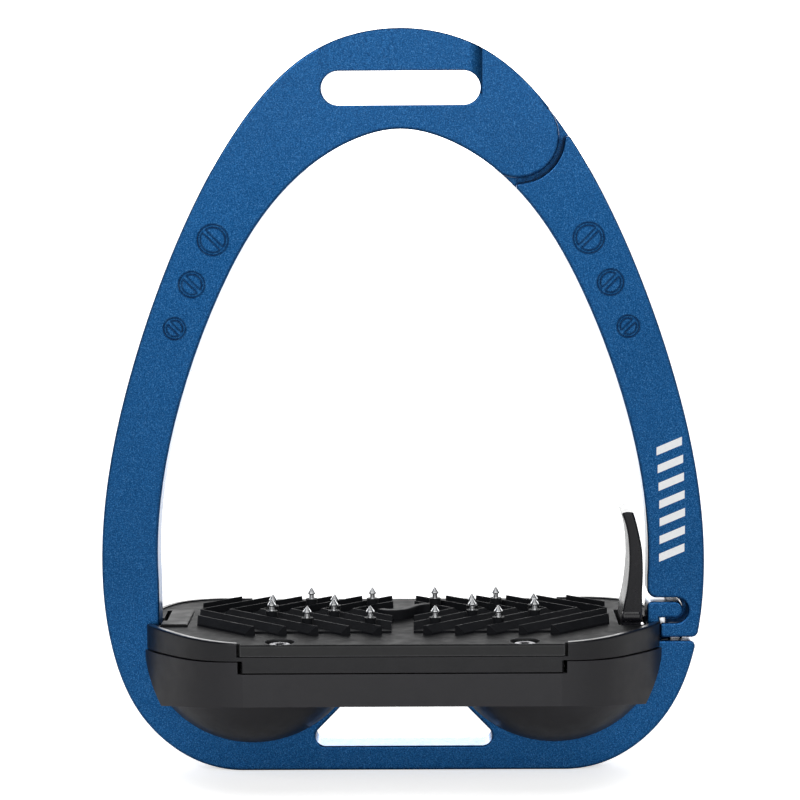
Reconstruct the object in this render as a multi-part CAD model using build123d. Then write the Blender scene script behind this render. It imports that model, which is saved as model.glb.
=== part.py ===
from build123d import *
import math
import os

# Safety stirrup iron: a frame with a hinged release arm on the right branch, a footbed
# with grip pads, and a lever with a spring latch.  Millimetres, +Z up, +X (right) towards
# the release arm, -Y towards the front.  Origin: centre of the flat under the bottom bar,
# on the frame's middle plane.  Tables of two columns are (x, z) unless noted.
# Plain numbers left in cutting tools only carry them past the material.

os.makedirs("parts", exist_ok=True)

BLUE, BLACK, PAD_BLACK = (0.1, 0.27, 0.5), (0.08, 0.08, 0.09), (0.05, 0.05, 0.05)
GREY, STEEL, BRASS = (0.3, 0.3, 0.3), (0.7, 0.7, 0.72), (0.8, 0.65, 0.3)
SIDES = (-1, 1)               # left, right


# ---------------------------------------------------------------- helpers
def prism(face, y0, y1):
    """Extrude a face drawn in X-Z from y0 to y1."""
    return extrude(Pos(0, y0, 0) * (Plane.XZ * face), amount=y1 - y0, dir=(0, 1, 0))


def up(face, z0, z1):
    """Extrude a plan face from z0 to z1."""
    return extrude(Pos(0, 0, z0) * face, amount=z1 - z0, dir=(0, 0, 1))


def poly(*points):
    return Polygon(*points, align=None)


def rect(x0, y0, x1, y1):
    return poly((x0, y0), (x1, y0), (x1, y1), (x0, y1))


def block(x_span, y_span, z_span):
    """Box between two limits on each axis."""
    spans = (x_span, y_span, z_span)
    return Pos(*[(a + b) / 2 for a, b in spans]) * Box(*[b - a for a, b in spans])


def on_side(side, near, far):
    """Span from near to far on the side given by the sign, low limit first."""
    return sorted((side * near, side * far))


def rod_y(centre, radius, y0, y1):
    """Cylinder along Y; centre is (x, z)."""
    x, z = centre
    return Pos(x, (y0 + y1) / 2, z) * (Rot(90, 0, 0) * Cylinder(radius, y1 - y0))


def rod_z(centre, radius, z0, z1):
    """Cylinder along Z; centre is (x, y)."""
    x, y = centre
    return Pos(x, y, (z0 + z1) / 2) * Cylinder(radius, z1 - z0)


def edges_at(shape, axis, level, tol=1e-3):
    """Edges lying in the plane where the axis ("Y" or "Z") has the given level."""
    found = []
    for edge in shape.edges():
        box = edge.bounding_box()
        if all(abs(getattr(end, axis) - level) < tol for end in (box.min, box.max)):
            found.append(edge)
    return found


def soften(shape, edges, radius):
    """Fillet edges; smaller radii, then no fillet, guard against kernel failures."""
    for factor in (1.0, 0.8, 0.6, 0.4):
        try:
            out = fillet(edges, radius * factor)
            if out.is_valid and out.volume > 0:
                return out
        except Exception:
            pass
    return shape


def corner(face, x, z, radius, tol=0.8):
    """Round the corner of an outline nearest to (x, z), if one lies within tol."""
    def distance(vertex):
        return math.hypot(vertex.X - x, vertex.Y - z)

    nearest = min(face.vertices(), key=distance)
    if distance(nearest) > tol:
        return face
    for factor in (1.0, 0.8, 0.6):
        try:                  # the full radius may not fit beside short edges
            return fillet([nearest], radius * factor)
        except Exception:
            pass
    return face


def samples(curve, steps):
    """Points and tangents at even steps along a curve."""
    return [(curve @ (i / steps), curve % (i / steps)) for i in range(steps + 1)]


def shift(point, tangent, distance):
    """Move a plan point to the left of its tangent."""
    return (point.X - tangent.Y * distance, point.Y + tangent.X * distance)


def flip(points):
    return [(-x, y) for x, y in points]


def save(name, color, *shapes):
    """Write the solids of the shapes to one STEP file."""
    solids = [solid for shape in shapes for solid in shape.solids()]
    out = Compound(children=solids) if len(solids) > 1 else solids[0]
    out.label = name
    out.color = Color(*color)
    export_step(out, f"parts/{name}.step")


# ---------------------------------------------------------------- frame sizes
FRAME_T = 9.0                 # thickness of frame and arm
HALF_T = FRAME_T / 2
EDGE_R = 0.55                 # broken edge all round
FLAT_HALF = 40.0              # half length of the flat under the bottom bar
OUTER = [(55.95, 5.0), (65.8, 15.0), (71.87, 30.0), (74.2, 50.0), (71.16, 80.0),
         (66.1, 100.0), (59.26, 120.0), (50.49, 140.0), (38.67, 160.0), (19.81, 178.0)]
OUTER_TOP = 182.8
INNER_HALF = 60.2             # half width between the branches at the footbed
INNER_FOOT_Z = 48.0           # the inner sides are upright up to here
INNER = [(60.1, 61.0), (57.33, 80.0), (51.75, 100.0), (43.7, 120.0),
         (31.62, 140.0), (21.4, 150.0), (12.6, 155.3)]
INNER_TOP = 158.46
BRIDGE_TOP = 26.5             # top of the solid bottom bar, under the footbed

WINDOW = [(-25.3, 6.1), (25.3, 6.1), (11.8, 20.0), (-11.8, 20.0)]
WINDOW_R = 2.5

# leather slot and relieved bar above it
SLOT_W, SLOT_H = 38.5, 8.27
SLOT_X, SLOT_Z = 0.25, 168.37
RELIEF = 1.8                  # depth of the relief on the bar's front face
RELIEF_EDGE = 19.9            # where the relief meets the full-thickness boss
LEFT_RUN, RIGHT_RUN = 24.5, 4.9   # lengths over which the end arcs rise to the face
LEFT_LOW, RIGHT_LOW = 5.0, RELIEF_EDGE - RIGHT_RUN   # ends of the relief's flat floor

# half-lap hinge
HINGE = (28.5, 156.5)
LAP_DIR = (0.66, -0.75)       # along the branch, away from the crown
LAP_GAP = 0.2                 # each lap face stops this far from the middle plane
DISC_R = 10.0
RECESS_R = 11.4
LAP_CORNER_R = 0.8
BUSH_OR, SHOULDER_R, BUSH_IR = 3.5, 2.5, 2.53
HEAD_R, HEAD_POCKET_R = 3.4, 3.55
HINGE_THREAD_R = 2.0
HEAD_POCKET_Y = 3.0           # floor of the screw head's pocket

# foot of the release arm, tongue and horn
HORN_TOP = 32.34
JAW_BOTTOM = 33.2
JAW_TIP = 63.47
SPLIT_X = JAW_TIP - 18        # inner limit of the arm's side of the split
ARM_SLOT = (36.76, 43.12, 70.34)   # low z, high z, right end
TONGUE = (38.1, 42.1, 69.0)        # low z, high z, right end
STEM = (60.2, 63.2)                # x span

MOTIFS = [(45.7, 131.9, 3.77), (51.0, 121.06, 3.19), (55.35, 110.3, 2.71)]   # x, z, radius
MOTIF_DEPTH, MOTIF_RING, MOTIF_SLOT = 0.4, 0.75, 1.05

BRIDGE_SCREW_X = 34.0
SCREW_R = 1.5                 # shanks of the bridge and tread screws
SPRING_X = 64.5
SPRING_Z = (21.6, 28.58)


# ---------------------------------------------------------------- frame and arm outlines
def arch(foot, side, top):
    """One smooth curve from the right foot over the top to the left foot."""
    right = [foot] + side
    return Spline(*right, (0, top), *flip(reversed(right)))


outer_face = make_face([Line((-FLAT_HALF, 0), (FLAT_HALF, 0)),
                        arch((FLAT_HALF, 0), OUTER, OUTER_TOP)])
inner_face = make_face([
    Line((-INNER_HALF, BRIDGE_TOP), (INNER_HALF, BRIDGE_TOP)),
    Line((INNER_HALF, BRIDGE_TOP), (INNER_HALF, INNER_FOOT_Z)),
    arch((INNER_HALF, INNER_FOOT_Z), INNER, INNER_TOP),
    Line((-INNER_HALF, INNER_FOOT_Z), (-INNER_HALF, BRIDGE_TOP))])
window = poly(*WINDOW)
window = fillet(window.vertices(), WINDOW_R)
leather_slot = Pos(SLOT_X, SLOT_Z) * SlotOverall(SLOT_W, SLOT_H)
ring = outer_face - inner_face - window - leather_slot

# the part of the ring that belongs to the arm, split square across the branch
dir_x, dir_z = [part / math.hypot(*LAP_DIR) for part in LAP_DIR]


def across(distance):
    """Point on the split line, at a distance outwards from the hinge."""
    return (HINGE[0] - dir_z * distance, HINGE[1] + dir_x * distance)


arm_side = poly(across(40), across(-16), (across(-16)[0] + 5, 118.0), (40.0, 90.0),
                (SPLIT_X, 60.0), (SPLIT_X, JAW_BOTTOM), (120.0, JAW_BOTTOM),
                (120.0, across(40)[1]))
lap_disc = (Pos(*HINGE) * Circle(DISC_R)) & (outer_face - inner_face)
recess = Pos(*HINGE) * Circle(RECESS_R)


def outer_x(z):
    """Outer half width at height z, straight between the outline's points."""
    points = [(FLAT_HALF, 0.0)] + OUTER
    for low, high in zip(points, points[1:]):
        if low[1] <= z <= high[1]:
            return low[0] + (high[0] - low[0]) * (z - low[1]) / (high[1] - low[1])


def lap_corners(face):
    """Round the corners where the hinge recess runs out through the branch's sides."""
    ends = [v for v in face.vertices()
            if abs(math.hypot(v.X - HINGE[0], v.Y - HINGE[1]) - RECESS_R) < 1e-3]
    for v in ends:
        face = corner(face, v.X, v.Y, LAP_CORNER_R)
    return face


# foot of the arm: open slot above, jaw below
slot_low, slot_high, slot_end = ARM_SLOT
slot_r = (slot_high - slot_low) / 2
slot_front = (rect(40, slot_low, slot_end - slot_r, slot_high)
              + Pos(slot_end - slot_r, (slot_low + slot_high) / 2) * Circle(slot_r))
# the rear of the slot closes round the tongue's end, so no light shows through
slot_rear = (rect(40, slot_low, 65.0, slot_high) + rect(64.9, 37.6, 66.6, 42.4)
             + Pos(66.6, 40.0) * Circle(2.6))
under_slot = rect(40, JAW_BOTTOM - 5, JAW_TIP, slot_low + 0.5)


def arm_outline(slot):
    face = (ring & arm_side) - slot - under_slot
    face = corner(face, INNER_HALF + 0.1, slot_high, 2.3)
    face = corner(face, JAW_TIP, slot_low, 0.7)
    face = corner(face, JAW_TIP, JAW_BOTTOM, 0.7)
    return corner(face, outer_x(JAW_BOTTOM), JAW_BOTTOM, 1.7)


arm_front = lap_corners(arm_outline(slot_front) - recess)
arm_rear = arm_outline(slot_rear) + lap_disc

# tongue, its stem and the horn under it
tongue_low, tongue_high, tongue_end = TONGUE
tongue_r = (tongue_high - tongue_low) / 2
tongue = (rect(STEM[0], HORN_TOP - 1.0, STEM[1], tongue_high)
          + rect(STEM[0], tongue_low, tongue_end - tongue_r, tongue_high)
          + Pos(tongue_end - tongue_r, (tongue_low + tongue_high) / 2) * Circle(tongue_r))
frame_outline = ring - arm_side - rect(INNER_HALF - 3, HORN_TOP, 90, JAW_BOTTOM + 0.1)
frame_outline = corner(frame_outline, outer_x(HORN_TOP), HORN_TOP, 1.4)
frame_outline = frame_outline + tongue
frame_outline = corner(frame_outline, STEM[0], tongue_high, 1.2)


def two_laps(front, rear, meet):
    """Front outline up to y = meet, rear outline beyond it, outer edges broken."""
    front_lap = prism(front, -HALF_T, meet)
    front_lap = soften(front_lap, edges_at(front_lap, "Y", -HALF_T), EDGE_R)
    rear_lap = prism(rear, meet, HALF_T)
    rear_lap = soften(rear_lap, edges_at(rear_lap, "Y", HALF_T), EDGE_R)
    return front_lap + rear_lap


frame = two_laps(frame_outline + lap_disc, lap_corners(frame_outline - recess), -LAP_GAP)
arm = two_laps(arm_front, arm_rear, LAP_GAP)


# ---------------------------------------------------------------- frame and arm details
def relief_arc(low_x, run, reach, fractions):
    """Plan points on an arc that leaves the relief's floor at low_x."""
    radius = (run ** 2 + RELIEF ** 2) / (2 * RELIEF)
    points = []
    for fraction in fractions:
        offset = reach * fraction
        rise = radius - math.sqrt(radius * radius - offset * offset)
        points.append((low_x + offset, -HALF_T + RELIEF - rise))
    return points


# relief on the front of the leather bar: a long hollow that starts at the left end of
# the slot and sweeps up to the full-thickness boss at the right; arcs overrun the face
left_arc = relief_arc(LEFT_LOW, LEFT_RUN, -LEFT_RUN * 1.06, (1, 0.5, 0))
right_arc = relief_arc(RIGHT_LOW, RIGHT_RUN, RIGHT_RUN * 1.12, (0, 0.5, 1))
left_open = (left_arc[0][0], -HALF_T - 3)
right_open = (right_arc[2][0], -HALF_T - 3)
relief_plan = make_face([ThreePointArc(*left_arc), Line(left_arc[2], right_arc[0]),
                         ThreePointArc(*right_arc), Line(right_arc[2], right_open),
                         Line(right_open, left_open), Line(left_open, left_arc[0])])
frame -= up(relief_plan, SLOT_Z - 1.5, 190.0)

# engraved slotted discs on both branches
for x, z, radius in MOTIFS:
    for side in SIDES:
        motif = (Circle(radius) - Circle(radius - MOTIF_RING)) \
            + Rot(0, 0, side * 45) * Rectangle(2 * radius - 0.4, MOTIF_SLOT)
        engraving = prism(Pos(side * x, z) * motif, -HALF_T - 0.5, -HALF_T + MOTIF_DEPTH)
        if side < 0:
            frame -= engraving
        else:
            arm -= engraving

# strike notch under the jaw, for the latch tooth
arm -= block((65.9, 68.6), (-1.7, 1.7), (JAW_BOTTOM - 1, 34.1))
# hinge bore through the rear lap, with the screw head's pocket
arm -= rod_y(HINGE, BUSH_OR, -1, HALF_T + 1)
arm -= rod_y(HINGE, HEAD_POCKET_R, HEAD_POCKET_Y, HALF_T + 1)

# hinge thread, blind from behind; latch channel and spring seat in the horn
CHANNEL_END, CHANNEL_Y, SEAT_R = 69.2, (-1.6, 1.6), 1.6
frame -= rod_y(HINGE, HINGE_THREAD_R, -3.3, 1)
frame -= block((58.0, CHANNEL_END), CHANNEL_Y, (27.2, 32.0))
frame -= block((STEM[1], CHANNEL_END), CHANNEL_Y, (31.5, 33.0))
frame -= rod_z((SPRING_X, 0), SEAT_R, SPRING_Z[0], 28.0)
# low rib on the horn closes the rear of the gap under the jaw
frame += block((STEM[1] + 0.5, 69.3), (2.0, 4.0), (HORN_TOP - 0.5, 33.08))
# threads for the footbed's screws, from above
for side in SIDES:
    frame -= rod_z((side * BRIDGE_SCREW_X, 0), SCREW_R, 17.5, BRIDGE_TOP + 1)

save("frame_body", BLUE, frame)
save("release_arm", BLUE, arm)

# ---------------------------------------------------------------- hinge hardware
HEAD_Y = (3.05, 4.3)
HINGE_HEX_R, HINGE_HEX_Y = 1.45, 2.2
WASHER_OR, WASHER_IR = 7.0, 2.6

screw = (rod_y(HINGE, HINGE_THREAD_R, -3.2, -LAP_GAP)
         + rod_y(HINGE, SHOULDER_R, -LAP_GAP, HEAD_Y[0]) + rod_y(HINGE, HEAD_R, *HEAD_Y))
screw -= prism(Pos(*HINGE) * RegularPolygon(HINGE_HEX_R, 6), HINGE_HEX_Y, 6)
screw = soften(screw, [e for e in edges_at(screw, "Y", HEAD_Y[1]) if e.length > 15], 0.3)
save("hinge_screw", STEEL, screw)
save("hinge_bush", BRASS,
     rod_y(HINGE, BUSH_OR, LAP_GAP, HEAD_POCKET_Y) - rod_y(HINGE, BUSH_IR, -1, 4))
save("hinge_washer", BLACK,
     rod_y(HINGE, WASHER_OR, -LAP_GAP, LAP_GAP - 0.02) - rod_y(HINGE, WASHER_IR, -1, 1))

# ---------------------------------------------------------------- footbed sizes
DECK_Y = (-4.6, 4.6)          # slot that straddles the frame
END_X = 60.1                  # footbed ends here between the branches
BED_HALF = 30.0               # half depth, front to back
FRONT_X, BACK_X = 38.0, 44.0  # half lengths of the straight front and back edges
RIGHT_END = [(43.4, -28.0), (47.6, -25.3), (52.5, -20.7), (57.4, -14.4), (61.8, -7.8),
             (64.0, -2.3), (64.5, 5.0), (63.8, 12.0), (61.8, 19.0),
             (58.3, 25.3), (52.6, 29.1)]   # plan (x, y), front to back
BASE_PROUD = 0.45             # the base stands this far outside the carrier at its ends
BASE_BOTTOM = 21.85           # lower edge of the base in the middle
DIP_START = 36.0              # the lower edge dips outwards from here
DIP_RATE = 0.0065
DIP_X = [DIP_START, 42.0, 48.0, 54.0, 60.0, 67.0]
END_CURVE_Z, END_CURVE_R = 34.2, 27.35     # ends of the base, seen from the front
BULGE_X, BULGE_Z, BULGE_R = 37.0, 34.0, (27.5, 33.0, 26.75)
SEAM_MID = 29.75              # base to carrier, between the notches
SEAM_NOTCH_Z, SEAM_TIP_Z = 32.65, 30.8     # seam height at the notch and at the tip
SEAM_TIP_X, SEAM_REACH = 63.0, 66.0
SEAM_GAP = 0.14
NOTCH_X = 38.3                # carrier's step
NOTCH_GAP = 0.95              # the base's step stands off by this
PLATE_LOW, PLATE_TOP = 33.85, 36.85
PLATE_HALF = 38.6
RIM_START = 39.45
RIM_TOP = 37.2
RIM_W = 1.4
GROOVE_DEPTH = 0.8
POCKET_X = (53.0, 59.9)       # pockets at the ends of the footbed
POCKET_Y = (-7.0, 13.0)
PLUG_Z = 30.0                 # floor of the left pocket
TREAD_SCREW = (29.3, 26.0)    # x, y
INSERT_R, INSERT_Z = 2.3, 24.15
BRIDGE_HEAD_Z = 28.1
PIN = (55.6, 29.5)            # lever pin
PIN_R, PIN_Y = 1.25, (-10.0, 16.0)


# ---------------------------------------------------------------- footbed outlines
right_edge = Spline((FRONT_X, -BED_HALF), *RIGHT_END, (BACK_X, BED_HALF))
plan = make_face([Line((-FRONT_X, -BED_HALF), (FRONT_X, -BED_HALF)), right_edge,
                  Line((BACK_X, BED_HALF), (-BACK_X, BED_HALF)),
                  mirror(right_edge, about=Plane.YZ)])


def symmetric_plan(right):
    """Plan face between a right-hand edge and its mirror image."""
    left = flip(right)
    return make_face([Line(left[0], right[0]), Spline(*right),
                      Line(right[-1], left[-1]), Spline(*left)])


def inset(distance):
    """The footbed's outline moved inwards."""
    points = [shift(p, t, distance) for p, t in samples(right_edge, 40)]
    points[0] = (points[0][0], -BED_HALF + distance)
    points[-1] = (points[-1][0], BED_HALF - distance)
    return symmetric_plan(points)


def proud(distance):
    """The outline let out at the ends, unchanged at the front and back."""
    return symmetric_plan([
        shift(p, t, -distance * min(1.0, max(0.0, (p.X - 41.0) / 8.0)))
        for p, t in samples(right_edge, 32)])


def above_seam(clear, step_x, half_depth=40):
    """Everything above the base-to-carrier seam, raised by clear."""
    slope = (SEAM_TIP_Z - SEAM_NOTCH_Z) / (SEAM_TIP_X - NOTCH_X)
    end_z = SEAM_TIP_Z + slope * (SEAM_REACH - SEAM_TIP_X) + clear
    notch_z, mid_z = SEAM_NOTCH_Z + clear, SEAM_MID + clear
    right = [(step_x, mid_z), (step_x, notch_z), (SEAM_REACH, end_z), (SEAM_REACH, 60)]
    return prism(poly(*flip(reversed(right)), *right), -half_depth, half_depth)


# cuts shared by the footbed's mouldings
frame_slots = block((-90, 90), DECK_Y, (-5, BRIDGE_TOP + 0.05))
for side in SIDES:
    frame_slots += block(on_side(side, END_X, 90), DECK_Y, (-5, 60))
pocket_plan = rect(POCKET_X[0], POCKET_Y[0], POCKET_X[1], POCKET_Y[1])
lever_pocket = up(pocket_plan, BRIDGE_TOP + 0.3, 60) \
    + block((POCKET_X[0], 60.4), DECK_Y, (BRIDGE_TOP - 1, 60))
plug_pocket = up(mirror(pocket_plan, about=Plane.YZ), PLUG_Z, 60) \
    + block((-60.4, -POCKET_X[0]), DECK_Y, (PLUG_Z, 60))

# ---------------------------------------------------------------- footbed base
# the lower edge dips towards the ends, and the ends turn in round the bulges
dip = [(x, BASE_BOTTOM - DIP_RATE * (x - DIP_START) ** 2) for x in DIP_X]
left_dip = flip(dip)
above_dip = make_face([
    Line(left_dip[0], dip[0]), Spline(*dip),
    Line(dip[-1], (DIP_X[-1], 60.0)), Line((DIP_X[-1], 60.0), (-DIP_X[-1], 60.0)),
    Line((-DIP_X[-1], 60.0), left_dip[-1]), Spline(*left_dip)])
ends = (rect(-BULGE_X, 0, BULGE_X, 60) + Pos(BULGE_X, END_CURVE_Z) * Circle(END_CURVE_R)
        + Pos(-BULGE_X, END_CURVE_Z) * Circle(END_CURVE_R) + rect(-66, END_CURVE_Z, 66, 60))
base_plan = proud(BASE_PROUD)
base = up(base_plan, 12, 33.5) & prism(above_dip, -40, 40) & prism(ends, -40, 40)
for side in SIDES:
    bulge = Pos(side * BULGE_X, 0, BULGE_Z) * scale(Sphere(1.0), by=BULGE_R)
    bulge &= block((-80, 80), (-40, 40), (0, BASE_BOTTOM + 0.6))
    base += bulge & up(base_plan, 0, 33.0)
base -= above_seam(0.0, NOTCH_X + NOTCH_GAP)
base -= frame_slots
base -= lever_pocket
base -= plug_pocket
base -= rod_y(PIN, PIN_R, *PIN_Y)

# ---------------------------------------------------------------- footbed carrier
carrier = up(plan, 20, RIM_TOP)
carrier = soften(carrier, edges_at(carrier, "Z", RIM_TOP), 0.45) \
    & above_seam(SEAM_GAP, NOTCH_X)
carrier -= up(inset(RIM_W), PLATE_LOW, 60) \
    + block((-RIM_START, RIM_START), (-50, 50), (PLATE_LOW, 60))
carrier -= frame_slots
carrier -= lever_pocket
carrier -= plug_pocket

# ---------------------------------------------------------------- footbed plate
plate = up(inset(RIM_W + 0.12), PLATE_LOW, PLATE_TOP) \
    + block((-PLATE_HALF, PLATE_HALF), (-BED_HALF, 29.95), (PLATE_LOW, PLATE_TOP))
long_edges = [e for e in edges_at(plate, "Z", PLATE_TOP)
              if abs(e.center().Y) > 29.5 and e.length > 40]
plate = soften(plate, long_edges, 0.5)
plate -= frame_slots
plate -= lever_pocket
plate -= plug_pocket

# shadow grooves where the mouldings meet
shell = up(plan, 25, 40) - up(inset(GROOVE_DEPTH), 24, 41)
carrier -= shell & (above_seam(0.0, NOTCH_X - 0.02) - above_seam(0.38, NOTCH_X - 0.3, 41))
for side in SIDES:
    plate -= block((-PLATE_HALF - 1, PLATE_HALF + 1), on_side(side, 29.3, 31),
                   (PLATE_LOW - 1, PLATE_LOW + 0.22))

# ---------------------------------------------------------------- footbed screws
tread_screws, tread_inserts, bridge_screws = [], [], []
for side in SIDES:
    for end in (-1, 1):
        at = (side * TREAD_SCREW[0], end * TREAD_SCREW[1])
        plate -= rod_z(at, 3.6, 30.0, 40)
        carrier -= rod_z(at, 1.65, 25, 40)
        base -= rod_z(at, INSERT_R, INSERT_Z, 31)
        screw = rod_z(at, 2.9, PLATE_LOW, 36.35) + rod_z(at, SCREW_R, 24.6, PLATE_LOW)
        screw = soften(screw, edges_at(screw, "Z", 36.35), 0.7)
        screw -= up(Pos(*at) * RegularPolygon(1.25, 6), 34.8, 40)
        tread_screws.append(screw)
        tread_inserts.append(rod_z(at, INSERT_R, INSERT_Z, SEAM_MID)
                             - rod_z(at, SCREW_R, 20, 40))

for side in SIDES:
    at = (side * BRIDGE_SCREW_X, 0)
    base -= rod_z(at, 1.6, 20, 31)
    base -= rod_z(at, 2.95, BRIDGE_HEAD_Z, 31)
    screw = rod_z(at, 2.8, BRIDGE_HEAD_Z, 29.6) + rod_z(at, SCREW_R, 17.8, BRIDGE_HEAD_Z)
    screw -= up(Pos(*at) * RegularPolygon(1.15, 6), 28.7, 40)
    bridge_screws.append(screw)

# ---------------------------------------------------------------- grip pad sizes
PITCH, RIDGES = 7.7, 7
PAD_FRONT, PAD_VEE, PAD_BACK = -18.1, 4.6, 21.6   # y: leg ends and herringbone points
FIRST_X = -38.1               # front outer corner of the outermost ridge, left pad
RIDGE_W, RIDGE_H, RIDGE_TOE = 1.68, 2.25, 0.45
WEB_H, WEB_Y = 0.5, (-15.6, 18.6)
PAD_X = (2.7, 50.8)
# inner stud of each row (x, y); its neighbour stands two pitches further out
STUD_ROWS = [(7.9, -12.6), (17.1, -3.3), (17.1, 3.3), (7.9, 12.6)]
STUDS = [(x + step, y) for x, y in STUD_ROWS for step in (2 * PITCH, 0)]
STUD_SHANK_R = 0.9
FLANGE_TOP = PLATE_TOP + 0.85
STUD_PROFILE = [   # radius, z
    (0, 34.3), (STUD_SHANK_R, 34.3), (STUD_SHANK_R, PLATE_TOP), (1.15, PLATE_TOP),
    (1.15, FLANGE_TOP), (0.8, FLANGE_TOP), (0.8, 39.6), (0.66, 40.3), (0.62, 41.2),
    (0.95, 41.45), (1.02, 41.58), (0.98, 41.72), (0.16, 42.92), (0.0, 43.0)]
COLLAR_R, COLLAR_TOP = 1.45, 40.15
LINK_PATH = [(-5.6, 2.6), (-2.0, 1.2), (0.0, 2.2), (1.6, 4.8),
             (3.4, 7.6), (5.2, 8.9), (6.6, 9.1)]   # plan (x, y)
LINK_TOP = PLATE_TOP + 2.55
LINK_HALF, LINK_GAP_HALF = 1.0, 1.15   # half widths of the link and of its gap

# stud seats in the plate
for side in SIDES:
    for x, y in STUDS:
        plate -= rod_z((side * x, y), STUD_SHANK_R, 30, 40)

save("tread_base", BLACK, base)
save("tread_carrier", BLACK, carrier)
save("tread_plate", GREY, plate)
save("tread_screws", STEEL, *tread_screws)
save("tread_inserts", BRASS, *tread_inserts)
save("bridge_screws", STEEL, *bridge_screws)


# ---------------------------------------------------------------- grip pads, link and studs
def ridge_leg(index, is_back):
    """One half of a herringbone ridge: a saw-tooth section, steep on the inner side."""
    section = poly((0, 0), (RIDGE_W, 0), (RIDGE_W - 0.08, RIDGE_H),
                   (RIDGE_W - 0.36, RIDGE_H), (0, RIDGE_TOE))
    y0 = 2 * PAD_VEE - PAD_BACK if is_back else PAD_FRONT
    overrun = 8.0             # the leg starts this far before y0 and is cut back
    x = FIRST_X + PITCH * index - (y0 - PAD_FRONT) + overrun
    plane = Plane(origin=(x, y0 - overrun, PLATE_TOP), x_dir=(1, 1, 0), z_dir=(1, -1, 0))
    leg = extrude(plane * section, amount=-(PAD_VEE - y0 + overrun) * math.sqrt(2) - 6)
    leg &= block((-120, 60), (y0, PAD_VEE), (30, 50))
    if is_back:
        leg = mirror(leg, about=Plane(origin=(0, PAD_VEE, 0), z_dir=(0, 1, 0)))
    return leg


# flexible rib between the pads
link_samples = samples(Spline(*LINK_PATH), 24)


def link_plan(half_width):
    left, right = [[shift(p, t, distance) for p, t in link_samples]
                   for distance in (half_width, -half_width)]
    return make_face([Spline(*left), Line(left[-1], right[-1]),
                      Spline(*right), Line(right[0], left[0])])


link = up(link_plan(LINK_HALF), PLATE_TOP, LINK_TOP)
link = soften(link, [e for e in edges_at(link, "Z", LINK_TOP) if e.length > 5], 0.3)
link_gap = up(link_plan(LINK_GAP_HALF), PLATE_TOP - 1, PLATE_TOP + 5)

# left pad; the web's outer corners are cut back along the outermost ridge
pad_in, pad_out = PAD_X
front_sum = PAD_FRONT + FIRST_X                   # x + y along the front cut
back_diff = 2 * PAD_VEE - PAD_FRONT - FIRST_X     # y - x along the back cut
web = poly((-pad_out, front_sum + pad_out), (front_sum - WEB_Y[0], WEB_Y[0]),
           (-pad_in, WEB_Y[0]), (-pad_in, WEB_Y[1]),
           (WEB_Y[1] - back_diff, WEB_Y[1]), (-pad_out, back_diff - pad_out))
pad = up(web, PLATE_TOP, PLATE_TOP + WEB_H)
for index in range(RIDGES):
    for is_back in (False, True):
        pad += ridge_leg(index, is_back)
pad &= block((-pad_out, -pad_in), (-25, 25), (30, 50))
pad &= up(inset(RIM_W + 0.6), 30, 50)
# a collar stands up round every stud and closes over its flange
for x, y in STUDS:
    pad += rod_z((-x, y), COLLAR_R, PLATE_TOP, COLLAR_TOP)
for x, y in STUDS:
    pad -= rod_z((-x, y), 1.2, 30, PLATE_TOP + 0.9)
    pad -= rod_z((-x, y), 0.84, 30, 50)


def stud(x, y):
    profile = Plane.XZ * poly(*STUD_PROFILE)
    return Pos(x, y, 0) * revolve(profile, axis=Axis.Z, revolution_arc=360)


save("grip_pad_left", PAD_BLACK, pad - link_gap)
save("grip_pad_right", PAD_BLACK, mirror(pad, about=Plane.YZ) - link_gap)
save("grip_link", PAD_BLACK, link)
save("grip_studs_left", STEEL, *[stud(-x, y) for x, y in STUDS])
save("grip_studs_right", STEEL, *[stud(x, y) for x, y in STUDS])

# ---------------------------------------------------------------- blanking plug
# fills the pocket opposite the lever
PLUG_CLEAR = 0.05
PLUG_TOP = 37.45
plug = block((-POCKET_X[1] + PLUG_CLEAR, -POCKET_X[0] - PLUG_CLEAR),
             (POCKET_Y[0] + PLUG_CLEAR, POCKET_Y[1] - PLUG_CLEAR), (PLUG_Z, PLUG_TOP))
plug = soften(plug, edges_at(plug, "Z", PLUG_TOP), 0.5)
plug -= block((-62, -58.5), (-2.0, 11.5), (33.0, 40))
save("blanking_plug", BLACK, plug)

# ---------------------------------------------------------------- lever, hook and rivet
LEVER_Y = (-5.5, 9.0)
LEVER_INNER = [(53.8, 36.6), (53.85, 38.4), (54.1, 40.5), (54.75, 43.5), (55.05, 45.2),
               (55.45, 48.5), (55.7, 52.3), (55.6, 56.0), (55.3, 59.0), (54.7, 61.8),
               (53.85, 64.1)]
LEVER_TIP = [(54.1, 64.5), (55.4, 64.72), (56.6, 64.5)]
LEVER_OUTER = [(56.8, 64.2), (57.55, 61.6), (58.3, 58.3), (58.85, 55.3), (59.05, 52.3),
               (59.1, 48.5), (58.95, 45.2), (58.95, 42.7), (59.0, 40.2)]
LEVER_FOOT = [(58.6, 36.6), (58.15, 31.0), (53.6, 31.0)]
PIN_BOSS_R = 2.45
LEVER_BUSH_IR, LEVER_BUSH_OR = 1.28, 1.75
HEEL_X, HEEL_Z, HEEL_R, HEEL_LENGTH = 56.25, 38.5, 1.55, 4.5
HOOK = [(54.4, 31.5), (57.6, 31.5), (57.6, 28.6), (68.4, 28.6), (68.4, 32.4), (67.9, 33.12),
        (66.3, 33.12), (66.3, 31.6), (59.6, 31.6), (59.6, 35.9), (54.4, 35.9)]
HOOK_HALF_T = 1.4
RIVET, RIVET_R = (56.4, 33.8), 1.0

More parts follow.
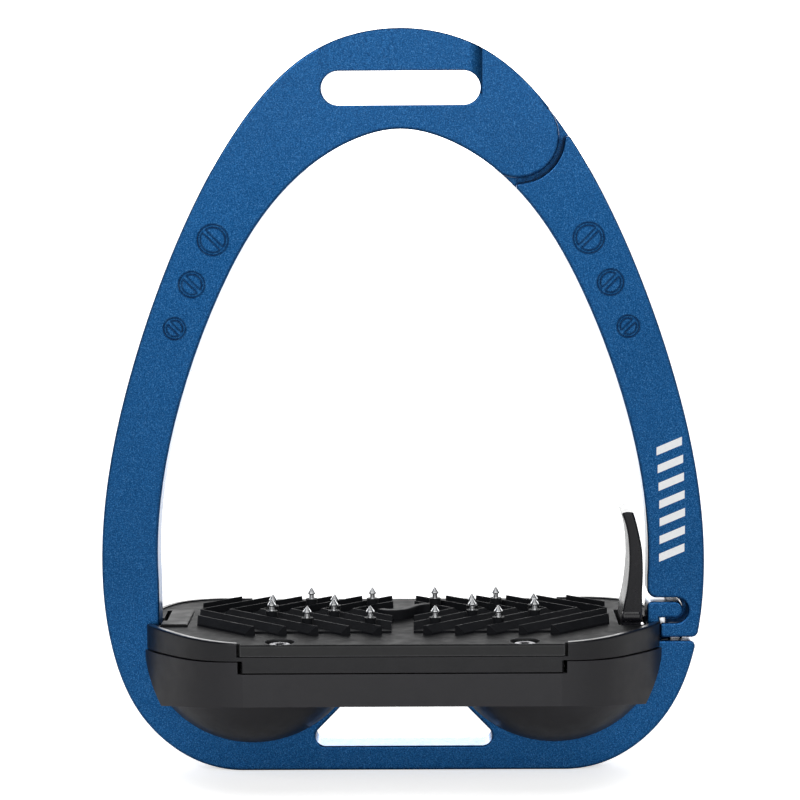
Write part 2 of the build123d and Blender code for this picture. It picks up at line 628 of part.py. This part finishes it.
foot_path = [LEVER_OUTER[-1], *LEVER_FOOT, LEVER_INNER[0]]
lever_outline = make_face([
    Spline(*LEVER_INNER), Line(LEVER_INNER[-1], LEVER_TIP[0]), Spline(*LEVER_TIP),
    Line(LEVER_TIP[-1], LEVER_OUTER[0]), Spline(*LEVER_OUTER),
    *[Line(start, end) for start, end in zip(foot_path, foot_path[1:])]])
lever = prism(lever_outline, *LEVER_Y)
lever += rod_y(PIN, PIN_BOSS_R, *LEVER_Y)
lever += block((53.6, 58.05), LEVER_Y, (29.5, 31.2))
side_edges = [e for y in LEVER_Y for e in edges_at(lever, "Y", y)
              if e.bounding_box().min.Z > 36.0 and e.length > 10]
lever = soften(lever, side_edges, 0.8)
# rounded heel across the front, at the foot of the lever
heel = Pos(HEEL_X, LEVER_Y[0] + 0.75, HEEL_Z) * (Rot(0, 90, 0) * Cylinder(HEEL_R, HEEL_LENGTH))
heel = soften(heel, heel.edges().filter_by(GeomType.CIRCLE), 0.5)
lever += heel

hook = prism(poly(*HOOK), -HOOK_HALF_T, HOOK_HALF_T)
rivet = rod_y(RIVET, RIVET_R, *LEVER_Y)
lever -= hook
lever -= rivet
hook -= rivet
lever -= rod_y(PIN, LEVER_BUSH_OR, LEVER_Y[0] - 1, LEVER_Y[1] + 1)
save("release_lever", BLACK, lever)
save("latch_hook", STEEL, hook)
save("hook_rivet", STEEL, rivet)
save("lever_bush", BRASS,
     rod_y(PIN, LEVER_BUSH_OR, *LEVER_Y) - rod_y(PIN, LEVER_BUSH_IR, -20, 20))
save("lever_pin", STEEL, rod_y(PIN, PIN_R, *PIN_Y))

# ---------------------------------------------------------------- latch spring
# flat-ground ends, standing in the horn
WIRE_R, COIL_R, TURNS = 0.25, 1.15, 5.0
spring_height = SPRING_Z[1] - SPRING_Z[0]
helix = Helix(pitch=spring_height / TURNS, height=spring_height, radius=COIL_R)
coil = sweep(Plane(origin=helix @ 0, z_dir=helix % 0) * Circle(WIRE_R),
             path=helix, is_frenet=True)
coil = Pos(SPRING_X, 0, SPRING_Z[0]) * coil
coil &= block((SPRING_X - 3, SPRING_X + 3), (-3, 3), SPRING_Z)
save("latch_spring", STEEL, coil)
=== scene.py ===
# A blue anodised stirrup iron with a release arm, a black tread and rubber grip pads.
# It stands upright on z = 0 and faces -Y, with the marked face of its arm on the +X side.
# Lengths are in metres unless a comment says mm.
import math
import bmesh
import bpy
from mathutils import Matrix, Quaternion, Vector


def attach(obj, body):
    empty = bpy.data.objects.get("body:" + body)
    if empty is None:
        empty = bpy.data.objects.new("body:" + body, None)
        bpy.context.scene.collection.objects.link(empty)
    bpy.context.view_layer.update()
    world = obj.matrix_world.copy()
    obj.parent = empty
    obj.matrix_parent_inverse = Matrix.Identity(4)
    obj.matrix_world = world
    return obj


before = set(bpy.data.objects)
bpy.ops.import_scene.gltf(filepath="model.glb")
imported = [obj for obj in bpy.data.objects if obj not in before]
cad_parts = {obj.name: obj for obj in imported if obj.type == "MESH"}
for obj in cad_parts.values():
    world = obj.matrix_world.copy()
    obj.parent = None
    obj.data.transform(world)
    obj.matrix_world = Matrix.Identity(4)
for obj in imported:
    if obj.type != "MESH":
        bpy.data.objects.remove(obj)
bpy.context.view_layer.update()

MM = 0.001
scene = bpy.context.scene

BLACK = (0.0, 0.0, 0.0)
WHITE = (1.0, 1.0, 1.0)
OPAQUE_WHITE = (*WHITE, 1.0)
NOISE_SPAN = (0.3, 0.7)  # where most noise values fall
UNIT = (0.0, 1.0)


# ------------------------------------------------------------------
# Node helpers
# ------------------------------------------------------------------
class Nodes:
    """Adds nodes to a tree; most methods return an output socket."""

    def __init__(self, tree):
        self.tree = tree
        tree.nodes.clear()

    def add(self, kind, inputs=None, **props):
        node = self.tree.nodes.new(kind)
        for key, value in props.items():
            setattr(node, key, value)
        for key, value in (inputs or {}).items():
            self.put(node, key, value)
        return node

    def put(self, node, key, value):
        """Link a socket to an input, or set the input to a plain value."""
        if isinstance(value, bpy.types.NodeSocket):
            self.tree.links.new(value, node.inputs[key])
        else:
            node.inputs[key].default_value = value

    def split(self, vector):
        """The X, Y and Z outputs of a vector."""
        return self.add("ShaderNodeSeparateXYZ", {0: vector}).outputs

    def math(self, operation, a, b=0.0, clamp=False):
        return self.add("ShaderNodeMath", {0: a, 1: b},
                        operation=operation, use_clamp=clamp).outputs[0]

    def times(self, value, by, clamp=False):
        return self.math("MULTIPLY", value, by, clamp)

    def remap(self, value, span, to, curve="LINEAR"):
        """Carry the range span over to the range to, held at both ends."""
        inputs = {"Value": value, "From Min": span[0], "From Max": span[1],
                  "To Min": to[0], "To Max": to[1]}
        return self.add("ShaderNodeMapRange", inputs, interpolation_type=curve).outputs[0]


class Mat(Nodes):
    """A new material with one Principled shader, textured in object coordinates."""

    def __init__(self, name):
        self.material = bpy.data.materials.new(name)
        self.material.use_nodes = True
        super().__init__(self.material.node_tree)
        output = self.add("ShaderNodeOutputMaterial")
        self.shader = self.add("ShaderNodeBsdfPrincipled")
        self.put(output, 0, self.shader.outputs[0])
        self.coords = self.add("ShaderNodeTexCoord").outputs["Object"]

    def finish(self, **inputs):
        """Fill the shader's inputs (underscores stand for spaces); return the material."""
        for key, value in inputs.items():
            self.put(self.shader, key.replace("_", " "), value)
        return self.material

    def noise(self, scale, detail=2.0, roughness=0.5):
        inputs = {"Vector": self.coords, "Scale": scale, "Detail": detail, "Roughness": roughness}
        return self.add("ShaderNodeTexNoise", inputs).outputs["Fac"]

    def ramp(self, factor, stops):
        node = self.add("ShaderNodeValToRGB", {"Fac": factor})
        elements = node.color_ramp.elements
        while len(elements) < len(stops):
            elements.new(0.5)
        for element, (position, colour) in zip(elements, stops):
            element.position = position
            element.color = (*colour, 1.0)
        return node.outputs[0]

    def peaks(self, value, start, full):
        """Black below start, white above full."""
        return self.ramp(value, [(start, BLACK), (full, WHITE)])

    def mix(self, factor, a, b):
        """Colour a at factor 0, colour b at factor 1."""
        a, b = ((*colour, 1.0) if isinstance(colour, tuple) else colour for colour in (a, b))
        return self.add("ShaderNodeMix", {0: factor, 6: a, 7: b}, data_type="RGBA").outputs[2]

    def bump(self, height, strength, distance):
        inputs = {"Height": height, "Strength": strength, "Distance": distance}
        return self.add("ShaderNodeBump", inputs).outputs[0]

    def geometry(self, output):
        return self.add("ShaderNodeNewGeometry").outputs[output]

    def edge(self, radius, full=0.86):
        """0 on flats, 1 where the rounded normal leans so far that its cosine is full."""
        rounded = self.add("ShaderNodeBevel", {"Radius": radius}, samples=6).outputs[0]
        lean = self.add("ShaderNodeVectorMath", {0: rounded, 1: self.geometry("Normal")},
                        operation="DOT_PRODUCT").outputs["Value"]
        return self.remap(lean, span=(1.0, full), to=UNIT)

    def upright(self):
        """1 on walls, 0 on tops and undersides."""
        normal = self.split(self.geometry("Normal"))
        return self.remap(self.math("ABSOLUTE", normal["Z"]), span=(0.25, 0.55), to=(1.0, 0.0))

    def by_height(self, heights, to):
        return self.remap(self.split(self.coords)["Z"], span=heights, to=to)

    def shade_crevices(self, colour, distance, darkest):
        """Painted shade: darkens narrow grooves and gaps by ambient occlusion."""
        occlusion = self.add("ShaderNodeAmbientOcclusion", {"Distance": distance}, samples=4)
        light = self.remap(occlusion.outputs["AO"], span=(0.16, 0.54), to=(darkest, 1.0))
        return self.mix(light, BLACK, colour)


def scaled(colour, gain, lift=0.0):
    return tuple(channel * gain + lift for channel in colour)


# ------------------------------------------------------------------
# Materials
# ------------------------------------------------------------------
def blue_anodised():
    m = Mat("blue_anodised")
    # Bead-blasted skin: grains about a quarter of a millimetre across, finer sparkle inside.
    coarse = m.noise(scale=3300, roughness=0.6)
    cells = m.add("ShaderNodeTexVoronoi", {"Vector": m.coords, "Scale": 5600}, feature="F1")
    spark = m.add("ShaderNodeSeparateColor", {0: cells.outputs["Color"]}).outputs[0]
    cloud = m.noise(scale=30)
    base = m.ramp(coarse, [(0.35, (0.0062, 0.070, 0.225)),
                           (0.50, (0.0135, 0.118, 0.338)),
                           (0.66, (0.036, 0.200, 0.520))])
    glint = m.peaks(spark, start=0.88, full=0.98)
    colour = m.mix(m.times(glint, by=0.75), base, (0.085, 0.30, 0.66))
    tone = m.remap(cloud, span=NOISE_SPAN, to=(0.95, 1.05))
    # Painted light: the colour is brightened towards the foot of the iron, standing in for the
    # lighter reflections on the lower frame.
    painted_foot_light = m.by_height(heights=(0.0, 0.060), to=(1.24, 1.0))
    toned = m.add("ShaderNodeHueSaturation",
                  {"Color": colour, "Value": m.times(tone, by=painted_foot_light)}).outputs[0]
    # Painted shade: the rounded edges are darkened, standing in for the dark surroundings they
    # reflect; a few rubbed spots of real wear on the edges are lighter.
    rim = m.edge(radius=0.00062, full=0.965)
    edge_shaded = m.mix(m.times(rim, by=0.90), toned, (0.003, 0.020, 0.070))
    spots = m.remap(m.noise(scale=260, detail=4.0), span=(0.58, 0.75), to=(0.0, 0.20))
    worn = m.mix(m.times(rim, by=spots, clamp=True), edge_shaded, (0.16, 0.34, 0.58))
    rough = m.remap(m.noise(scale=900), span=NOISE_SPAN, to=(0.31, 0.40))
    height = m.math("ADD", m.times(coarse, by=0.7), m.times(spark, by=0.35))
    # Painted shade: grooves and gaps, the hinge gap darkest, are darkened by ambient occlusion.
    return m.finish(
        Base_Color=m.shade_crevices(worn, distance=0.0025, darkest=0.12),
        Metallic=1.0,
        Roughness=rough,
        Normal=m.bump(height, strength=0.24, distance=0.00005),
        Coat_Weight=0.75,
        Coat_Roughness=0.10,
        Coat_IOR=1.20,
    )


def moulded(name, dark, light, roughness, grain=1500.0, bump=0.18, specular=0.5, speck=0.06,
            shine=2.1, wall=None):
    """Injection-moulded plastic with a fine spark-eroded texture and faint flow marks.

    grain is the texture's scale, speck the weight of its pale dots, shine the gain on the edges
    lightened as rubbed wear and as a painted highlight, and wall the specular level of upright
    faces (a painted sheen) where it differs.
    """
    m = Mat(name)
    texture = m.noise(scale=grain, detail=3.0, roughness=0.6)
    flow = m.noise(scale=24, detail=3.0, roughness=0.55)
    colour = m.mix(m.remap(flow, span=NOISE_SPAN, to=UNIT), dark, light)
    dots = m.peaks(m.noise(scale=grain * 1.7, detail=1.0), start=0.60, full=0.74)
    colour = m.mix(m.times(dots, by=speck), colour, scaled(light, gain=2.4))
    # Edges are lightened, partly as rubbed wear and partly as a painted highlight, most strongly
    # where shine is high.
    edge_wear_and_highlight = m.times(m.edge(radius=0.0006), by=0.35)
    colour = m.mix(edge_wear_and_highlight, colour, scaled(light, gain=shine, lift=0.006))
    # Painted shade: grooves and gaps are darkened by ambient occlusion.
    colour = m.shade_crevices(colour, distance=0.0015, darkest=0.15)
    rough = m.remap(m.noise(scale=300, detail=3.0), span=NOISE_SPAN,
                    to=(roughness - 0.06, roughness + 0.06))
    normal = m.bump(texture, strength=bump, distance=0.00006)
    if wall is not None:
        # Painted sheen: upright faces get a higher specular level than tops and undersides.
        specular = m.remap(m.upright(), span=UNIT, to=(specular, wall))
    return m.finish(Base_Color=colour, Roughness=rough, Normal=normal,
                    Specular_IOR_Level=specular, Coat_Weight=0.0, Coat_Roughness=0.25)


def grip_rubber():
    m = Mat("grip_rubber")
    grain = m.noise(scale=1100, detail=4.0, roughness=0.7)
    dust = m.noise(scale=90, detail=4.0, roughness=0.6)
    colour = m.mix(m.remap(dust, span=(0.42, 0.72), to=(0.0, 0.7)),
                   (0.0105, 0.0112, 0.0132), (0.0172, 0.0180, 0.0204))
    rough = m.remap(m.noise(scale=420), span=NOISE_SPAN, to=(0.50, 0.66))
    return m.finish(Base_Color=colour, Roughness=rough, Specular_IOR_Level=0.06,
                    Normal=m.bump(grain, strength=0.20, distance=0.00006))


def turned_metal(name, colour, roughness):
    m = Mat(name)
    wave = m.noise(scale=5200)
    smear = m.noise(scale=400, detail=3.0)
    smeared = m.mix(m.remap(smear, span=NOISE_SPAN, to=UNIT), scaled(colour, gain=0.82), colour)
    rough = m.remap(smear, span=NOISE_SPAN, to=(roughness - 0.05, roughness + 0.09))
    return m.finish(Base_Color=smeared, Metallic=1.0, Roughness=rough,
                    Normal=m.bump(wave, strength=0.10, distance=0.00003))


def white_print():
    m = Mat("white_print")
    grain = m.noise(scale=2600, detail=3.0)
    colour = m.mix(m.remap(grain, span=(0.35, 0.65), to=UNIT),
                   (0.72, 0.74, 0.77), (0.86, 0.87, 0.88))
    # Painted light: the print glows faintly so that it stays bright white.
    return m.finish(Base_Color=colour, Roughness=0.5,
                    Normal=m.bump(grain, strength=0.15, distance=0.00003),
                    Emission_Color=OPAQUE_WHITE, Emission_Strength=0.22)


BLUE = blue_anodised()
NYLON = moulded("black_nylon", dark=(0.0110, 0.0106, 0.0142), light=(0.0140, 0.0135, 0.0178),
                roughness=0.40, bump=0.06, specular=0.80)
CARRIER = moulded("carrier_nylon", dark=(0.0048, 0.0048, 0.0070), light=(0.0064, 0.0064, 0.0092),
                  roughness=0.36, bump=0.06, specular=0.36, wall=0.74)
PLATE = moulded("grey_plate", dark=(0.0110, 0.0114, 0.0124), light=(0.0150, 0.0154, 0.0164),
                roughness=0.55, specular=0.044, speck=0.12, shine=9.0, wall=0.66)
LEVER = moulded("lever_black", dark=(0.0068, 0.0068, 0.0098), light=(0.0096, 0.0096, 0.0132),
                roughness=0.26, grain=1900, bump=0.05, specular=0.60)
PLUG = moulded("gloss_black", dark=(0.010, 0.010, 0.011), light=(0.014, 0.014, 0.015),
               roughness=0.45, grain=2200, bump=0.05, specular=0.035)
RUBBER = grip_rubber()
STEEL = turned_metal("turned_steel", colour=(0.62, 0.62, 0.64), roughness=0.22)
STUD = turned_metal("stud_steel", colour=(0.80, 0.81, 0.82), roughness=0.30)
# Painted shade: the tread screws are a darker steel, standing in for the shade in their
# counterbores.
SCREW = turned_metal("shaded_screw_steel", colour=(0.27, 0.27, 0.285), roughness=0.32)
BRASS = turned_metal("brass", colour=(0.72, 0.50, 0.20), roughness=0.30)
WASHER = moulded("washer_polymer", dark=(0.02, 0.02, 0.02), light=(0.03, 0.03, 0.03),
                 roughness=0.4)
INK = white_print()

# CAD piece: its material
LOOK = {
    "frame_body": BLUE, "release_arm": BLUE,
    "tread_base": NYLON, "tread_carrier": CARRIER, "tread_plate": PLATE,
    "grip_pad_left": RUBBER, "grip_pad_right": RUBBER, "grip_link": RUBBER,
    "grip_studs_left": STUD, "grip_studs_right": STUD, "tread_screws": SCREW,
    "bridge_screws": STEEL, "hinge_screw": STEEL, "tread_inserts": BRASS,
    "hinge_bush": BRASS, "lever_bush": BRASS, "blanking_plug": PLUG,
    "release_lever": LEVER, "hinge_washer": WASHER, "lever_pin": STEEL,
    "latch_spring": STEEL, "latch_hook": STEEL, "hook_rivet": STEEL,
}
for name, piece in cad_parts.items():
    piece.data.materials.clear()
    piece.data.materials.append(LOOK[name])


def mesh_object(name, bm, material):
    mesh = bpy.data.meshes.new(name)
    bm.to_mesh(mesh)
    bm.free()
    ob = bpy.data.objects.new(name, mesh)
    scene.collection.objects.link(ob)
    ob.data.materials.append(material)
    return ob


# ------------------------------------------------------------------
# Printed mark on the arm: plain slanted bars, no lettering (mm)
# ------------------------------------------------------------------
ARM_FACE_Y = -4.5
INK_PROUD = 0.03
INK_THICK = 0.05  # the rest sinks into the arm
BAR_COUNT = 7
BAR_PITCH = 4.4
BAR_HEIGHT = 2.0
BAR_HALF_WIDTH = 3.1
BAR_SLOPE = 0.42  # rise towards +X
FIRST_BAR_Z = 53.4  # lower edge, at mid width
# The middle of the arm's face: a straight line below the bend, a curve above it.
BEND_X, BEND_Z = 66.3, 60.0
LEAN_BELOW = 0.02
LEAN_ABOVE = -0.012
CURVE_ABOVE = -0.0016


def arm_centre(z):
    rise = z - BEND_Z
    if rise > 0:
        return BEND_X + rise * LEAN_ABOVE + CURVE_ABOVE * rise ** 2
    return BEND_X + rise * LEAN_BELOW


def add_bar(bm, z):
    half = BAR_HALF_WIDTH
    outline = [(arm_centre(z) + across, z + up + across * BAR_SLOPE)
               for across, up in ((-half, 0), (half, 0), (half, BAR_HEIGHT), (-half, BAR_HEIGHT))]
    front_y = ARM_FACE_Y - INK_PROUD
    front, back = ([bm.verts.new((x * MM, y * MM, height * MM)) for x, height in outline]
                   for y in (front_y, front_y + INK_THICK))
    bm.faces.new(front)
    bm.faces.new(back[::-1])
    for i in range(4):
        j = (i + 1) % 4
        bm.faces.new([front[j], front[i], back[i], back[j]])


def printed_mark():
    bm = bmesh.new()
    for i in range(BAR_COUNT):
        add_bar(bm, FIRST_BAR_Z + i * BAR_PITCH)
    bmesh.ops.recalc_face_normals(bm, faces=bm.faces)
    ob = mesh_object("printed_mark", bm, INK)
    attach(ob, "release_arm")


printed_mark()

# ------------------------------------------------------------------
# Stage
# ------------------------------------------------------------------
FLOOR_HALF = 6
# Floor glow: as the camera sees it, and as it lights the object from front and behind
FLOOR_GLOW = {"seen": 0.60, "front": 0.05, "behind": 1.2}


def floor_white():
    m = Mat("floor_white")
    patches = m.noise(scale=3.0)
    seen = m.add("ShaderNodeLightPath").outputs["Is Camera Ray"]
    # To the object the floor is a dim sweep in front and a lit one behind.
    bounce = m.remap(m.split(m.geometry("Position"))["Y"], span=(0.02, 0.5),
                     to=(FLOOR_GLOW["front"], FLOOR_GLOW["behind"]))
    glow = m.math("ADD", m.times(seen, by=FLOOR_GLOW["seen"]),
                  m.times(m.math("SUBTRACT", 1.0, seen), by=bounce))
    colour = m.mix(m.remap(patches, span=NOISE_SPAN, to=UNIT),
                   (0.90, 0.90, 0.90), (0.93, 0.93, 0.93))
    return m.finish(Base_Color=m.mix(seen, (0.40, 0.40, 0.40), colour), Roughness=0.8,
                    Specular_IOR_Level=0.05, Emission_Color=OPAQUE_WHITE, Emission_Strength=glow)


def floor():
    bm = bmesh.new()
    corners = ((-1, -1), (1, -1), (1, 1), (-1, 1))
    bm.faces.new([bm.verts.new((x * FLOOR_HALF, y * FLOOR_HALF, 0)) for x, y in corners])
    mesh_object("floor", bm, floor_white())


def area(name, location, target, size, power):
    """A rectangular light aimed at target; size is width and height, power in watts."""
    light = bpy.data.lights.new(name, "AREA")
    light.shape = "RECTANGLE"
    light.size, light.size_y = size
    light.energy = power
    ob = bpy.data.objects.new(name, light)
    ob.location = location
    aim = Vector(target) - Vector(location)
    ob.rotation_euler = aim.to_track_quat("-Z", "Y").to_euler()
    scene.collection.objects.link(ob)


floor()
area("top", location=(0.0, -0.10, 1.1), target=(0, 0, 0.05), size=(0.7, 0.5), power=2.6)
area("key", location=(-0.55, -0.85, 0.75), target=(0, 0, 0.12), size=(0.45, 0.6), power=2.6)
area("fill", location=(0.65, -0.8, 0.5), target=(0, 0, 0.09), size=(0.30, 0.5), power=0.8)

# Background strengths: behind, in front (low and high up), and the factor at the flanks
WORLD = {"back": 3.2, "front_low": 1.15, "front_high": 0.10, "flank": 0.03}


def studio_world():
    """Bright field behind the object, a dim gradient in front and darker flanks."""
    world = bpy.data.worlds.new("studio")
    scene.world = world
    world.use_nodes = True
    w = Nodes(world.node_tree)
    output = w.add("ShaderNodeOutputWorld")
    background = w.add("ShaderNodeBackground", {"Color": OPAQUE_WHITE})
    direction = w.split(w.add("ShaderNodeTexCoord").outputs["Generated"])
    flank = w.remap(w.math("ABSOLUTE", direction["X"]), span=(0.38, 0.78),
                    to=(1.0, WORLD["flank"]), curve="SMOOTHSTEP")
    gradient = w.remap(direction["Z"], span=(0.50, 0.90),
                       to=(WORLD["front_low"], WORLD["front_high"]), curve="SMOOTHSTEP")
    level = w.remap(direction["Y"], span=(0.42, 0.85),
                    to=(w.times(gradient, by=flank), WORLD["back"]), curve="SMOOTHSTEP")
    w.put(background, "Strength", level)
    w.put(output, 0, background.outputs[0])


studio_world()

# ------------------------------------------------------------------
# Camera and view
# ------------------------------------------------------------------
EYE = Vector((0.00719, -0.655, 0.165))
LOOK_AT = Vector((0, 0, 0.092))
ROLL = math.radians(-0.374)


def camera():
    lens = bpy.data.cameras.new("camera")
    lens.sensor_width = 36.0  # mm
    lens.lens = 120.42  # mm
    lens.shift_x = -0.0023375  # fraction of the frame's width
    lens.clip_start = 0.05
    ob = bpy.data.objects.new("camera", lens)
    scene.collection.objects.link(ob)
    ob.rotation_mode = "QUATERNION"
    ob.location = EYE
    aim = (LOOK_AT - EYE).to_track_quat("-Z", "Y")
    ob.rotation_quaternion = aim @ Quaternion((0, 0, 1), ROLL)
    scene.camera = ob


camera()
scene.view_settings.view_transform = "Standard"
scene.view_settings.look = "None"
scene.view_settings.exposure = 0.0
